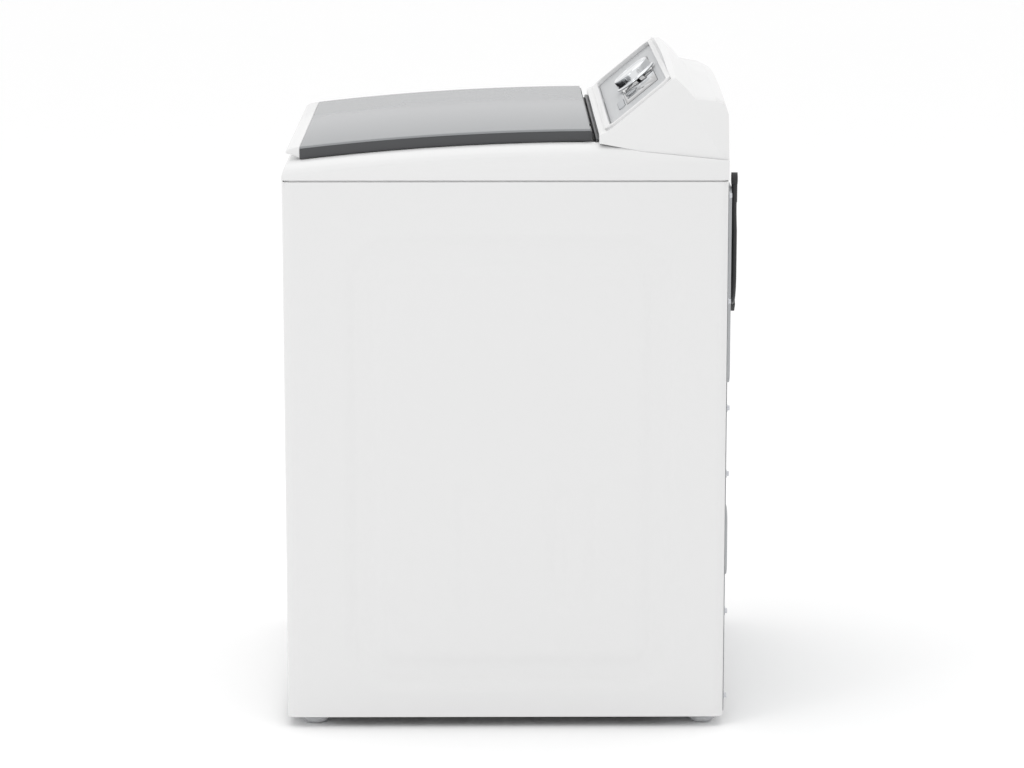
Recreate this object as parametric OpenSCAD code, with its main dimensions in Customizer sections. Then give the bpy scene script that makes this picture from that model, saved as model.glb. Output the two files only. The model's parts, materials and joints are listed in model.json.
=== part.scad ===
// Top load washing machine, built as an assembly of separate pieces.
// Frame: origin on the floor at the middle of the footprint, +X to the right of a
// person facing the machine, +Y to the back, +Z up. Millimetres.

/* [Cabinet] */
// Width of the painted cabinet
cab_w = 711; // [600:1:860]
// Depth of the painted cabinet
cab_d = 709; // [600:1:860]
// Height of the cabinet's top edge above the floor
cab_top = 894; // [760:1:1080]
// Height of the cabinet's bottom edge above the floor
cab_bottom = 17; // [14:0.5:22]
// Thickness of the painted sheet steel
sheet = 1.2; // [0.8:0.1:2]
// Radius of the cabinet's upright corners
corner_r = 14; // [8:1:24]
// Height of the base frame's rail
base_h = 28; // [22:1:40]

/* [Lid] */
// Gap between the lid's long edge and the cabinet's side
lid_side_gap = 28; // [20:1:45]
// Radius of the lid's long curve from front to back
lid_curve_r = 4115; // [3200:5:6000]
// Height of the lid's crest above the cabinet's top edge
lid_rise = 81.5; // [70:0.5:110]
// Thickness of the whole lid
lid_t = 20; // [18:0.5:26]
// Thickness of the lid's glass
glass_t = 4; // [3:0.5:5]

/* [Console] */
// Depth of the console from its front lip to the cabinet's back
console_d = 206; // [180:1:250]
// Height of the console's top above the cabinet's top edge
console_rise = 186; // [182:1:205]
// Slope of the control panel above level
face_angle = 39.6; // [38:0.2:44]
// Wall of the moulded console
console_wall = 3; // [2:0.5:4]
// Diameter of the selector knob
knob_d = 70; // [50:1:84]
// Height of the selector knob
knob_h = 18; // [12:1:26]

/* [Tub and basket] */
// Room between the outer tub and the cabinet's nearer walls
tub_gap = 61; // [50:1:80]
// Drop from the cabinet's top edge to the outer tub's rim
tub_drop = 94; // [80:1:130]
// Height of the outer tub's floor above the ground
tub_floor = 200; // [190:1:240]
// Wall of the moulded outer tub
tub_wall = 3; // [2.5:0.5:5]
// Gap between the outer tub's inside and the wash basket
basket_gap = 18; // [12:1:30]
// Wall of the stainless steel basket
basket_wall = 1; // [0.8:0.1:2]
// Distance of the basket's axis behind the cabinet's middle
basket_y = -5; // [-15:1:15]
// Radius of the drive shaft
shaft_r = 8; // [6:0.5:9]

/* [Suspension and feet] */
// Diameter of a levelling foot
foot_d = 46; // [36:1:60]
// Radius of a levelling foot's stud
stud_r = 5; // [4:0.5:6]

/* [Cord] */
// Diameter of the power cord
cord_d = 8; // [7:0.5:9]

/* [Hidden] */
$fn = 64;

play = 0.3;               // room left between pieces that lie close and don't slide
run = 0.05;               // radial clearance of a shaft that turns in a hole
half_w = cab_w / 2;
half_d = cab_d / 2;

// lid, deck and seam
seam_gap = 3;             // shadow gap between the cabinet and the top panel
panel_z = cab_top + seam_gap;
deck_t = 1.5;             // sheet of the top panel
deck_gap = 0.8;           // room under the closed lid
deck_drop = lid_t + deck_gap;
console_y = half_d - console_d;
lid_back = console_y - 11;
glass_back = lid_back - 2.5;
glass_seat = 0.05;        // bond line under the glass
glass_front = 28 - half_d;
lip_front = 5 - half_d;
lid_w = cab_w - 2 * lid_side_gap;
crest_y = console_y + 4.5;
crest_z = cab_top + lid_rise;
curve_z = crest_z - lid_curve_r;
function lid_z(y) = curve_z + sqrt(pow(lid_curve_r, 2) - pow(y - crest_y, 2));
hinge_y = lid_back - 8.5;
hinge_z = lid_z(hinge_y) - 11.5;
hinge_x = lid_w / 2 - 87;
hinge_pin_r = 4;
notch_w = 30;             // notch in the lid's rear rail round each hinge ear
shoulder_r = 24;          // rounding of the top panel's long edges

// tub, basket and drive, from the outside in
tub_r = min(cab_w, cab_d) / 2 - tub_gap;
tub_in = tub_r - tub_wall;
tub_top = cab_top - tub_drop;
basket_r = tub_in - basket_gap;
basket_floor = tub_floor + 26;
basket_top = tub_top - 12;
ring_h = 34;              // height of the tub ring above the tub's rim
ring_in = basket_r - 26;  // inner radius of the tub ring and the balance ring
tub_base_t = 6;
housing_r = 34;           // outer radius of the bearing housing
bearing_r = 26;
bearing_h = 15;
housing_low = tub_floor - 52;
housing_top = tub_floor + 14;
tube_r = 15;              // outer radius of the spin tube
tube_low = housing_low - 27;
hub_z = housing_top;      // the basket's hub sits on the housing's level
opening_r = ring_in - 10;
opening_back = console_y - 43.5;
skirt_t = 2.5;
skirt_low = tub_top + ring_h + 8;

// drawers behind the opening's flat back wall
drawer_w = 140;
drawer_h = 40;
drawer_l = 105;
drawer_gap = 20;
drawer_z = skirt_low + 14;
drawer_x = (drawer_w + drawer_gap) / 2;
drawer_wall = 2.5;
drawer_play = 1;

// suspension
rod_x = half_w - 70;
rod_y = half_d - 70;
rod_r = 4;
brace_z = cab_top - 40;
ear_z = tub_floor + 32;
rod_low = 92;
spring_r = 16;
spring_wire = 3.5;

// feet
foot_x = half_w - 38;
foot_front = 44 - half_d;
foot_rear = half_d - 33;
foot_h = 12.4;

// console
face_y = console_y + 14.5;
face_z = cab_top + 80;
face_l = (console_rise - 102) / sin(face_angle);
face_in = 3;              // depth of the control panel under its rim
face_rim = 10;            // width of the rim round the control panel
rim_h = 4;                // height of that rim above the sloping face
console_half = half_w - 4;
console_lean = 8;         // how far each end leans in near the crest
lean_low = cab_top + 60;  // height where the ends start to lean
lean_high = cab_top + 175;
console_top = cab_top + console_rise;
crest_drop = 24;          // fall of the arched crest from its middle to its ends
console_low = cab_top + 34;
knob_u = 76;
window_low = 44;
window_high = 107;
window_w = 394;
button_d = 16;

// rear
back = half_d;
rear_t = 1;
rear_raise = 6;
field_low = 560;
field_high = cab_top - 14;
pad_low = 241;
pad_high = 354;
drain_x = 120;
drain_z = 445;
pump_x = drain_x;
pump_y = 195;
hose_r = 14;
hose_bore = 11;
valve_x = [90, 145];
valve_z = cab_top + 80;
port_r = 13.3;

// power cord: its route from the strain relief to the hank, and from the hank to the plug
lead_points = [
    [298, 366.4, 854], [298, 366.4, 846], [298, 366.4, 837], [299, 366.6, 828],
    [300, 366.8, 819], [302, 367, 810], [303, 367, 800], [303, 367, 789]];
tail_points = [
    [262, 367, 722], [254, 368, 718], [245, 369, 716], [236, 370, 714], [227, 370, 711],
    [218, 370, 707], [209, 370, 702], [201, 370, 697], [193, 370, 691], [186, 370, 686]];
panel_face = back + rear_t + rear_raise;
hank_x = 245;
hank_z = 755;
hank_y = panel_face + 1.4;
hank_out = 62;            // outer radius of the hank's round ends
hank_in = 20;             // inner radius of the hank's round ends
hank_run = 30;            // straight run between the round ends

// ---- shared shapes ----
module extrude_x(w) {
    rotate([90, 0, 90])
        linear_extrude(w, center = true)
            children();
}

module rounded_rect(w, d, r) {
    square([w - 2 * r, d], center = true);
    square([w, d - 2 * r], center = true);
    for (sx = [-1, 1], sy = [-1, 1])
        translate([sx * (w / 2 - r), sy * (d / 2 - r)])
            circle(r);
}

module cab_outline(inset, ease = 0) {
    rounded_rect(cab_w - 2 * inset, cab_d - 2 * inset, max(corner_r - inset, 1) + ease);
}

module pipe(r_out, r_in, h) {
    difference() {
        cylinder(r = r_out, h = h);
        translate([0, 0, -1])
            cylinder(r = r_in, h = h + 2);
    }
}

module at_corners(x, y) {
    for (sx = [-1, 1], sy = [-1, 1])
        translate([sx * x, sy * y, 0])
            children();
}

// A round tube along a list of points.
function unit(v) = v / norm(v);
function tangent(p, i) = unit(p[min(i + 1, len(p) - 1)] - p[max(i - 1, 0)]);
function ring_points(p, i, r, n) =
    let (t = tangent(p, i), a = unit(cross(t, [1, 0, 0])), b = cross(t, a))
    [for (k = [0:n - 1]) p[i] + r * (cos(360 * k / n) * a + sin(360 * k / n) * b)];

module swept(p, r, n = 10) {
    rings = [for (i = [0:len(p) - 1]) each ring_points(p, i, r, n)];
    sides = [for (i = [0:len(p) - 2], k = [0:n - 1])
        [i * n + k, i * n + (k + 1) % n, (i + 1) * n + (k + 1) % n, (i + 1) * n + k]];
    caps = [[for (k = [n - 1:-1:0]) k], [for (k = [0:n - 1]) (len(p) - 1) * n + k]];
    polyhedron(rings, concat(sides, caps));
}

// ---- cabinet ----
flange_w = 18;
rear_flange = 24;
module cabinet_wrap() color("white")
    difference() {
        translate([0, 0, cab_bottom]) {
            linear_extrude(cab_top - cab_bottom)
                difference() {
                    cab_outline(0);
                    cab_outline(sheet);
                }
            linear_extrude(sheet)
                difference() {
                    cab_outline(sheet / 2);
                    cab_outline(flange_w);
                }
        }
        translate([rear_flange - half_w, half_d - flange_w - 1, 0])
            cube([cab_w - 2 * rear_flange, flange_w + 10, cab_top + 10]);
    }

base_z = cab_bottom + sheet;
gusset_w = 96;
gusset_t = 4;
module base_frame() color("gainsboro")
    difference() {
        translate([0, 0, base_z]) {
            linear_extrude(base_h)
                difference() {
                    cab_outline(sheet + play, 1);
                    cab_outline(sheet + play + 3, 1);
                }
            linear_extrude(gusset_t)
                intersection() {
                    cab_outline(sheet + play, 1);
                    at_corners(half_w - gusset_w / 2, half_d - gusset_w / 2)
                        square(gusset_w, center = true);
                }
        }
        for (p = foot_places())
            translate([p[0], p[1], 0])
                cylinder(r = stud_r + play, h = base_z + base_h);
    }

function foot_places() = [
    [-foot_x, foot_front], [foot_x, foot_front], [-foot_x, foot_rear], [foot_x, foot_rear]];

module foot(i) color("darkgray")
    translate([foot_places()[i][0], foot_places()[i][1], 0]) {
        rotate_extrude()
            polygon([
                [0, 0], [foot_d * 0.27, 0], [foot_d * 0.36, 1.6], [foot_d * 0.43, 4.6],
                [foot_d * 0.48, 8.4], [foot_d / 2, 11], [foot_d / 2 - 1.4, foot_h], [0, foot_h]]);
        cylinder(r = stud_r - run, h = base_z + base_h + 12);
    }

nut_h = base_z - foot_h - 0.8 - play;
module foot_lock_nuts() color("silver")
    for (p = foot_places())
        translate([p[0], p[1], cab_bottom + sheet - nut_h])
            difference() {
                cylinder(r = stud_r * 1.9, h = nut_h, $fn = 6);
                translate([0, 0, -1])
                    cylinder(r = stud_r, h = nut_h + 2);
            }

brace_w = 58;
brace_t = 3;
module corner_braces() color("silver")
    translate([0, 0, brace_z])
        for (sx = [-1, 1], sy = [-1, 1])
            difference() {
                union() {
                    linear_extrude(brace_t)
                        intersection() {
                            cab_outline(sheet, 2);
                            translate([sx * (half_w - 50), sy * (half_d - 50)])
                                square(100 - 2 * sheet, center = true);
                        }
                    translate([sx * (half_w - 50), sy * (half_d - sheet - 1.5), brace_t / 2])
                        cube([58, 3, brace_w - 24], center = true);
                }
                translate([sx * rod_x, sy * rod_y, -1])
                    cylinder(r = rod_r + 2.5, h = brace_t + 2);
            }

// ---- rear ----
module rear_plate(w, low, high, y0, y1, r) {
    translate([0, y1, (low + high) / 2])
        rotate([90, 0, 0])
            linear_extrude(y1 - y0)
                rounded_rect(w, high - low, r);
}

rear_w = cab_w - 22;
field_w = cab_w - 78;
module rear_panel() color("lightgray")
    difference() {
        union() {
            rear_plate(rear_w, cab_bottom + 5, cab_top - 3, back, back + rear_t, 6);
            rear_plate(field_w, field_low, field_high, back, back + rear_t + rear_raise, 24);
            rear_plate(field_w, pad_low, pad_high, back, back + rear_t + rear_raise - 1, 24);
        }
        rear_plate(field_w - 2 * rear_t, field_low + rear_t, field_high - rear_t,
            back - 1, back + rear_raise, 23);
        rear_plate(field_w - 2 * rear_t, pad_low + rear_t, pad_high - rear_t,
            back - 1, back + rear_raise - 1, 23);
        translate([drain_x, back - 1, drain_z])
            rotate([-90, 0, 0])
                cylinder(r = hose_r + play, h = rear_t + 2);
    }

screw_x = rear_w / 2 - 8;
rear_screw_z = [48, 190, 418, 526, 700, cab_top - 24];
module rear_screws() color("silver")
    for (sx = [-1, 1], z = rear_screw_z)
        translate([sx * screw_x, back + rear_t, z])
            rotate([-90, 0, 0]) {
                cylinder(r = 7, h = 1);
                cylinder(r = 4.4, h = 4.6, $fn = 6);
            }

port_out = 14;            // reach of the drain port behind the cabinet
module drain_port() color("dimgray")
    translate([drain_x, 0, drain_z])
        rotate([-90, 0, 0])
            difference() {
                union() {
                    translate([0, 0, back - 8])
                        cylinder(r = hose_r, h = port_out + 8);
                    translate([0, 0, back + rear_t])
                        cylinder(r = hose_r + 5, h = 2.5);
                }
                translate([0, 0, back - 9])
                    cylinder(r = hose_bore, h = port_out + 20);
            }

// ---- top panel ----
// Bent shell whose crown follows the lid's curve, cut level at the seam.
module crown(inset) {
    r = lid_curve_r - deck_drop - inset;
    side = half_w - inset;
    round_r = shoulder_r - inset;
    translate([0, crest_y, curve_z])
        rotate([0, 90, 0])
            rotate([0, 0, 175])
                rotate_extrude(angle = 14, $fn = 720)
                    crown_section(r, side, round_r);
}

module crown_section(r, side, round_r) {
    translate([r - 150, -side])
        square([150 - round_r, 2 * side]);
    translate([r - 150, round_r - side])
        square([150, 2 * (side - round_r)]);
    for (s = [-1, 1])
        translate([r - round_r, s * (side - round_r)])
            circle(round_r);
}

function deck_z(y) = lid_z(y) - deck_drop;

module top_profile(inset) {
    f = inset - half_d;
    b = half_d - inset;
    low = panel_z - (inset > 0 ? 20 : 0);
    polygon([
        [f, low], [f, cab_top + 10 - inset / 2], [f + 3.2, cab_top + 20 - inset],
        [f + 11, cab_top + 31.5 - inset], [f + 12, cab_top + 200],
        [console_y, cab_top + 200], [console_y + 0.1, deck_z(console_y) - inset],
        [console_y + 68, cab_top + 48 - inset], [b, cab_top + 34 - inset], [b, low]]);
}

module top_form(inset) {
    intersection() {
        crown(inset);
        extrude_x(cab_w + 2)
            top_profile(inset);
    }
}

// The wash opening: round, with a flat back wall where the drawers sit.
module opening_outline(grow) {
    intersection() {
        translate([0, basket_y])
            circle(opening_r + grow);
        translate([-half_w, -half_d])
            square([cab_w, opening_back + half_d + grow]);
    }
}

bleach_w = 58;
bleach_d = 44;
bleach_y = 74 - half_d;
module bleach_outline(grow) {
    translate([60 + lid_side_gap - half_w, bleach_y])
        rounded_rect(bleach_w + 2 * grow, bleach_d + 2 * grow, 14 + grow);
}

// The trough lets the lid's rear edge swing down.
trough_z = hinge_z - 25;
trough_front = hinge_y - 24;
module hinge_trough(wall) {
    translate([-lid_w / 2 - 1 - wall, trough_front - wall, trough_z - wall])
        cube([lid_w + 2 + 2 * wall, console_y - trough_front + wall - 0.2, 100 - wall]);
}

lock_x = lid_w / 2 - 42;
lock_y = -half_d + 150;
module top_panel() color("white")
    difference() {
        union() {
            difference() {
                top_form(0);
                top_form(deck_t);
                translate([0, 0, skirt_low - 1])
                    linear_extrude(200)
                        opening_outline(0);
            }
            intersection() {
                top_form(0);
                translate([0, 0, skirt_low])
                    linear_extrude(200)
                        difference() {
                            opening_outline(skirt_t);
                            opening_outline(0);
                        }
            }
            translate([0, 0, skirt_low])
                linear_extrude(panel_z + 2 - skirt_low)
                    difference() {
                        opening_outline(skirt_t);
                        opening_outline(0);
                    }
            translate([0, 0, cab_top - 10])
                linear_extrude(seam_gap + 12)
                    difference() {
                        cab_outline(sheet + play + 1.5, 1);
                        cab_outline(sheet + play + 3.5, 1);
                    }
            translate([0, 0, panel_z])
                linear_extrude(1.5)
                    difference() {
                        cab_outline(deck_t / 2, 0);
                        cab_outline(sheet + play + 3, 1);
                    }
            intersection() {
                top_form(0);
                hinge_trough(deck_t);
            }
        }
        for (s = [-1, 1])
            translate([
                s * drawer_x - drawer_w / 2 - drawer_play, opening_back - 20, drawer_z - drawer_play])
                cube([drawer_w + 2 * drawer_play, 60, drawer_h + 2 * drawer_play]);
        translate([0, 0, cab_top])
            linear_extrude(100)
                bleach_outline(play);
        translate([lock_x - slot_x, lock_y - slot_y, cab_top])
            cube([2 * slot_x, 2 * slot_y, 100]);
        hinge_trough(0);
        translate([valve_x[0] - 20, valve_y - 60, cab_top])
            cube([valve_x[1] - valve_x[0] + 40, 68, 70]);
    }

// ---- lid ----
function lid_arc(y0, y1, drop, n = 24) =
    [for (i = [0:n]) let (y = y0 + (y1 - y0) * i / n) [y, lid_z(y) - drop]];

module lid_slab(w, y0, y1, top, bottom) {
    extrude_x(w)
        polygon(concat(lid_arc(y0, y1, top), lid_arc(y1, y0, bottom)));
}

rail = 22;
module lid_frame() color("dimgray")
    difference() {
        lid_slab(lid_w, glass_front, lid_back, glass_t + glass_seat, lid_t);
        lid_slab(lid_w - 2 * rail, glass_front + rail, glass_back - 20, 0, lid_t + 5);
        for (s = [-1, 1])
            translate([s * hinge_x, hinge_y, hinge_z]) {
                translate([-notch_w / 2, -8, -20])
                    cube([notch_w, 30, 40]);
                rotate([0, 90, 0])
                    cylinder(r = hinge_pin_r + 0.02, h = notch_w + 16, center = true);
            }
    }

module lid_glass() color("silver")
    lid_slab(lid_w, glass_front, glass_back, 0, glass_t);

module lid_liner() color("white")
    difference() {
        lid_slab(lid_w - 2 * rail - glass_seat, glass_front + rail + glass_seat,
            glass_back - 20 - glass_seat, glass_t + glass_seat, lid_t);
        lid_slab(lid_w - 2 * rail - 6, glass_front + rail + 3, glass_back - 23, glass_t - 1, lid_t - 3);
    }

module lid_handle() color("white")
    extrude_x(lid_w)
        polygon([
            [glass_front, lid_z(glass_front)], [glass_front - 14, lid_z(glass_front) - 2.2],
            [lip_front + 3, lid_z(glass_front) - 5.5], [lip_front, lid_z(glass_front) - 8.5],
            [lip_front + 1.5, lid_z(glass_front) - 11.2], [lip_front + 8, lid_z(glass_front) - 12],
            [glass_front, lid_z(glass_front) - lid_t + 1.5]]);

strike_w = 18;
slot_x = 12;             // half width of the strike's slot
slot_y = 11;             // half depth of the strike's slot
strike_h = 20;
strike_z = lid_z(lock_y - 5) - lid_t - 0.05;
module lid_strike() color("silver")
    translate([lock_x, lock_y, strike_z])
        difference() {
            translate([-strike_w / 2, -5, -strike_h])
                cube([strike_w, 10, strike_h]);
            translate([-4, -6, 4 - strike_h])
                cube([8, 12, 8]);
        }

module hinge_pins() color("silver")
    for (s = [-1, 1])
        translate([s * hinge_x, hinge_y, hinge_z])
            rotate([0, 90, 0])
                cylinder(r = hinge_pin_r, h = notch_w + 14, center = true);

ear_w = 12;
module hinge_brackets() color("silver")
    for (s = [-1, 1])
        difference() {
            translate([s * hinge_x, 0, 0]) {
                extrude_x(ear_w) {
                    translate([hinge_y, hinge_z])
                        circle(6.5);
                    polygon([
                        [hinge_y - 5, hinge_z], [hinge_y + 5, hinge_z],
                        [hinge_y + 5, trough_z], [hinge_y - 5, trough_z]]);
                }
            }
            translate([s * hinge_x, hinge_y, hinge_z])
                rotate([0, 90, 0])
                    cylinder(r = hinge_pin_r + run, h = ear_w + 2, center = true);
        }

module hinge_cover_strip() color("dimgray")
    translate([0, console_y - 5, deck_z(console_y) + 0.2])
        translate([-lid_w / 2, 0, 0])
            cube([lid_w, 5, 5]);

lock_top = deck_z(lock_y - 34) - deck_t - 0.2;
lock_low = lock_top - 40;
bolt_z = strike_z - strike_h + 5;
module lid_lock_housing() color("dimgray")
    translate([lock_x, lock_y, 0])
        difference() {
            translate([-18, -34, lock_low])
                cube([36, 68, 40]);
            translate([-slot_x, -slot_y, lock_low + 6])
                cube([2 * slot_x, 2 * slot_y, 60]);
            translate([-3 - play, -30, bolt_z - play])
                cube([6 + 2 * play, 62, 6 + 2 * play]);
        }

module lid_lock_bolt() color("silver")
    translate([lock_x - 3, lock_y + slot_y + 1, bolt_z])
        cube([6, 19, 6]);

// ---- console ----
// A point of the side view, a distance u up the sloping face and w above it.
function face_at(u, w) = [
    face_y + u * cos(face_angle) - w * sin(face_angle),
    face_z + u * sin(face_angle) + w * cos(face_angle)];

// Side profile of the console: lip, sloping face, front of the crest, back.
module console_profile(inset) {
    drop = inset > 0 ? 60 : 0;
    crest = face_at(face_l, 0);
    polygon(concat(
        [[console_y + inset, deck_z(console_y) + 0.2 - drop], [console_y + inset, face_z - 6 - inset],
            face_at(0, -inset), face_at(face_l - 4 + inset, -inset)],
        inset > 0
            ? [[crest[0] - 1, console_top - 8], [crest[0] + 9, console_top + 2]]
            : [face_at(face_l, 10), [crest[0] - 8, console_top - 3], [crest[0] - 3, console_top + 2]],
        [[half_d - inset, console_top + 2], [half_d - inset, console_low + 0.3 - drop],
            [console_y + 68, cab_top + 48.3 - drop]]));
}

// Front outline: ends that lean in.
module console_front(inset) {
    polygon([
        [inset - console_half, cab_top - 20], [inset - console_half, lean_low],
        [inset + console_lean - console_half, lean_high],
        [inset + 1.5 * console_lean - console_half, console_top + 5],
        [console_half - 1.5 * console_lean - inset, console_top + 5],
        [console_half - console_lean - inset, lean_high],
        [console_half - inset, lean_low], [console_half - inset, cab_top - 20]]);
}

// The crest and the shelf behind it are arched alike: both fall towards the ends.
arch_r = (pow(console_half, 2) + pow(crest_drop, 2)) / (2 * crest_drop);
shelf_drop = 40;          // fall from the crest to the shelf
module console_arch(inset) {
    crest_y = face_at(face_l, 0)[0] - inset;
    r = arch_r - inset;
    back_y = half_d - inset;
    translate([0, 0, console_top - arch_r])
        rotate([-90, 0, 0])
            rotate_extrude($fn = 720)
                polygon([
                    [0, 0], [r, 0], [r, crest_y + 4], [r - 14, crest_y + 19],
                    [r - shelf_drop + 6, crest_y + 37], [r - shelf_drop, back_y - 20],
                    [r - shelf_drop - 7, back_y - 6], [r - shelf_drop - 62, back_y + 16],
                    [0, back_y + 16]]);
}

// Each end has a facet that leans in, behind a crease from the crest to the back's foot.
crease_turn = 57;         // slope of the crease
facet_lean = 34;          // how far the facet turns in from the end
module console_facets(inset) {
    crest = face_at(face_l, 0);
    reach = 200;
    translate([0, crest[0], crest[1] - 4])
        rotate([90 - crease_turn, 0, 0])
            linear_extrude(2 * cab_d, center = true)
                polygon([
                    [inset - console_half, -reach], [console_half - inset, -reach],
                    [console_half - inset, 0],
                    [console_half - inset - reach * tan(facet_lean), reach],
                    [inset - console_half + reach * tan(facet_lean), reach],
                    [inset - console_half, 0]]);
}

module console_form(inset) {
    intersection() {
        union() {
            extrude_x(cab_w)
                console_profile(inset);
            if (inset == 0)
                on_face()
                    linear_extrude(rim_h)
                        face_outline(face_rim);
        }
        translate([0, half_d + 20, 0])
            rotate([90, 0, 0])
                linear_extrude(cab_d)
                    console_front(inset);
        console_facets(inset);
        console_arch(inset);
    }
}

module on_face() {
    translate([0, face_y, face_z])
        rotate([face_angle, 0, 0])
            children();
}

face_w = 2 * (console_half - console_lean - face_rim - 4);
face_low = 6;
face_high = face_l - face_rim;
module face_outline(grow) {
    translate([0, (face_low + face_high) / 2])
        rounded_rect(face_w + 2 * grow, face_high - face_low + 2 * grow, 18 + grow);
}

module console_shell() color("white")
    difference() {
        console_form(0);
        console_form(console_wall);
        on_face()
            translate([0, 0, -12])
                linear_extrude(30)
                    face_outline(0);
        on_back(half_d - 40)
            linear_extrude(60)
                dish_outline(0);
    }

module console_face() color("silver")
    on_face()
        difference() {
            translate([0, 0, -face_in - 3])
                linear_extrude(3)
                    face_outline(-play);
            translate([-window_w / 2 - play, window_low - play, -10])
                cube([window_w + 2 * play, window_high - window_low + 2 * play, 20]);
            translate([key_x, key_u, -10])
                linear_extrude(20)
                    pill(key_l + 2 * play, key_w + 2 * play);
        }

button_u = 58;
button_x = 106;
key_x = 140;
key_u = 34;
key_l = 100;
key_w = 12;
module display_window() color("black")
    on_face()
        difference() {
            translate([-window_w / 2, window_low, -face_in - 3])
                cube([window_w, window_high - window_low, 3.6]);
            translate([0, knob_u, -10])
                cylinder(r = 9, h = 20);
            for (s = [-1, 1])
                translate([s * button_x, button_u, -10])
                    cylinder(r = button_d / 2 + play, h = 20);
        }

module display_board()
    on_face()
        difference() {
            translate([-window_w / 2 + 10, window_low + 4, -face_in - 12])
                cube([window_w - 20, window_high - window_low - 8, 1.6]);
            translate([0, knob_u, -20])
                cylinder(r = 9, h = 20);
        }

module control_knob() color("silver")
    on_face()
        translate([0, knob_u, 1])
            difference() {
                rotate_extrude()
                    polygon([
                        [0, 2], [knob_d / 2 - 6, 2], [knob_d / 2 - 6, 0], [knob_d / 2 + 3, 0],
                        [knob_d / 2 + 3, 2.4], [knob_d / 2, 4], [knob_d / 2 - 1, knob_h - 2],
                        [knob_d / 2 - 3, knob_h], [knob_d / 2 - 8, knob_h], [knob_d / 2 - 10, knob_h - 1.5],
                        [0, knob_h - 1.5]]);
                translate([0, 0, 1])
                    cylinder(r = 3, h = 9);
            }

module knob_encoder() color("dimgray")
    on_face()
        translate([0, knob_u, 0]) {
            translate([0, 0, -face_in - 26])
                cylinder(r = 14, h = 13.5);
            translate([0, 0, -face_in - 13])
                cylinder(r = 3 - run, h = 26);
        }

module push_button(x) {
    on_face()
        translate([x, button_u, 0]) {
            translate([0, 0, -face_in - 4])
                cylinder(r = button_d / 2, h = 6.2);
            translate([0, 0, -face_in - 7])
                cylinder(r = 4, h = 3.2);
        }
}

module start_button() color("gray")
    push_button(button_x);

module power_button() color("gray")
    push_button(-button_x);

module pill(l, w) {
    square([l - w, w], center = true);
    for (s = [-1, 1])
        translate([s * (l - w) / 2, 0])
            circle(w / 2);
}

module option_key() color("gray")
    on_face()
        translate([key_x, key_u, -face_in - 4])
            linear_extrude(5.4)
                pill(key_l, key_w);

board_z = console_low + 26;
module control_board()
    translate([-250, half_d - 90, board_z]) {
        cube([180, 70, 1.6]);
        translate([10, 8, 1.6])
            cube([36, 30, 22]);
        translate([60, 12, 1.6])
            cube([24, 24, 14]);
        for (i = [0:4])
            translate([100 + i * 15, 40, 1.6])
                cylinder(r = 5, h = 18);
    }

module circuit_boards() color("green") {
    display_board();
    control_board();
}

// ---- water ----
// The valves' ports stand in a dish sunk in the console's back.
dish_depth = 20;
dish_wall = 2;
dish_half = 27;           // half height of the dish
dish_proud = 4;           // reach of its flange behind the console
valve_y = half_d - dish_depth;
port_l = 22;              // length of a port beyond the dish's floor
module on_back(y) {
    translate([(valve_x[0] + valve_x[1]) / 2, y, valve_z])
        rotate([-90, 0, 0])
            children();
}

module dish_outline(inset) {
    r = dish_half - inset;
    rounded_rect(valve_x[1] - valve_x[0] + 2 * r, 2 * r, r - 0.5);
}

module inlet_bezel() color("dimgray")
    difference() {
        union() {
            on_back(valve_y)
                linear_extrude(dish_depth + 1)
                    dish_outline(play);
            on_back(half_d + play)
                linear_extrude(dish_proud)
                    dish_outline(-2);
        }
        on_back(valve_y + dish_wall)
            linear_extrude(60)
                dish_outline(dish_wall + play);
        for (x = valve_x)
            translate([x, valve_y - 5, valve_z])
                rotate([-90, 0, 0])
                    cylinder(r = port_r - 0.7, h = 20);
    }

module inlet_valves() color("lightgray")
    for (x = valve_x)
        translate([x, valve_y, valve_z])
            rotate([-90, 0, 0])
                difference() {
                    union() {
                        translate([0, 0, -30])
                            cylinder(r = 17, h = 30 - play);
                        translate([0, 0, -1])
                            cylinder(r = port_r - 1, h = dish_wall + play + 2);
                        translate([0, 0, dish_wall + play])
                            cylinder(r = port_r, h = port_l);
                        translate([0, 20, -16])
                            cube([22, 26, 22], center = true);
                    }
                    translate([0, 0, -18])
                        cylinder(r = 8, h = 60);
                }

valve_out = valve_z - 33;
fill_bend = 18;
fill_y = valve_y - 16;
fill_z = valve_out - 16 - fill_bend;
module fill_route(r) {
    translate([0, fill_y, valve_out - 16])
        cylinder(r = r, h = 16);
    translate([0, fill_y - fill_bend, valve_out - 16])
        rotate([0, 90, 0])
            rotate_extrude(angle = 90)
                translate([fill_bend, 0])
                    circle(r);
    translate([0, housing_y + drawer_l + 14, fill_z])
        rotate([-90, 0, 0])
            cylinder(r = r, h = fill_y - fill_bend - housing_y - drawer_l - 14);
}

module fill_hoses() color("black")
    for (x = valve_x)
        translate([x, 0, 0])
            difference() {
                fill_route(8);
                fill_route(5);
            }

housing_y = opening_back + skirt_t + play;
module dispenser_housing() color("white")
    difference() {
        translate([-drawer_x - drawer_w / 2 - 8, housing_y, drawer_z - 6])
            cube([2 * drawer_x + drawer_w + 16, drawer_l + 14, drawer_h + 26]);
        for (s = [-1, 1])
            translate([s * drawer_x - drawer_w / 2 - drawer_play, housing_y - 1, drawer_z - drawer_play])
                cube([drawer_w + 2 * drawer_play, drawer_l + 8, drawer_h + 2 * drawer_play]);
    }

module drawer(x) {
    translate([x - drawer_w / 2, opening_back - 1, drawer_z])
        difference() {
            cube([drawer_w, drawer_l, drawer_h]);
            translate([drawer_wall, 5, drawer_wall])
                cube([drawer_w - 2 * drawer_wall, drawer_l - 5 - drawer_wall, drawer_h]);
        }
    translate([x - 32, opening_back - 9, drawer_z + 8])
        cube([64, 8, 5]);
}

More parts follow.
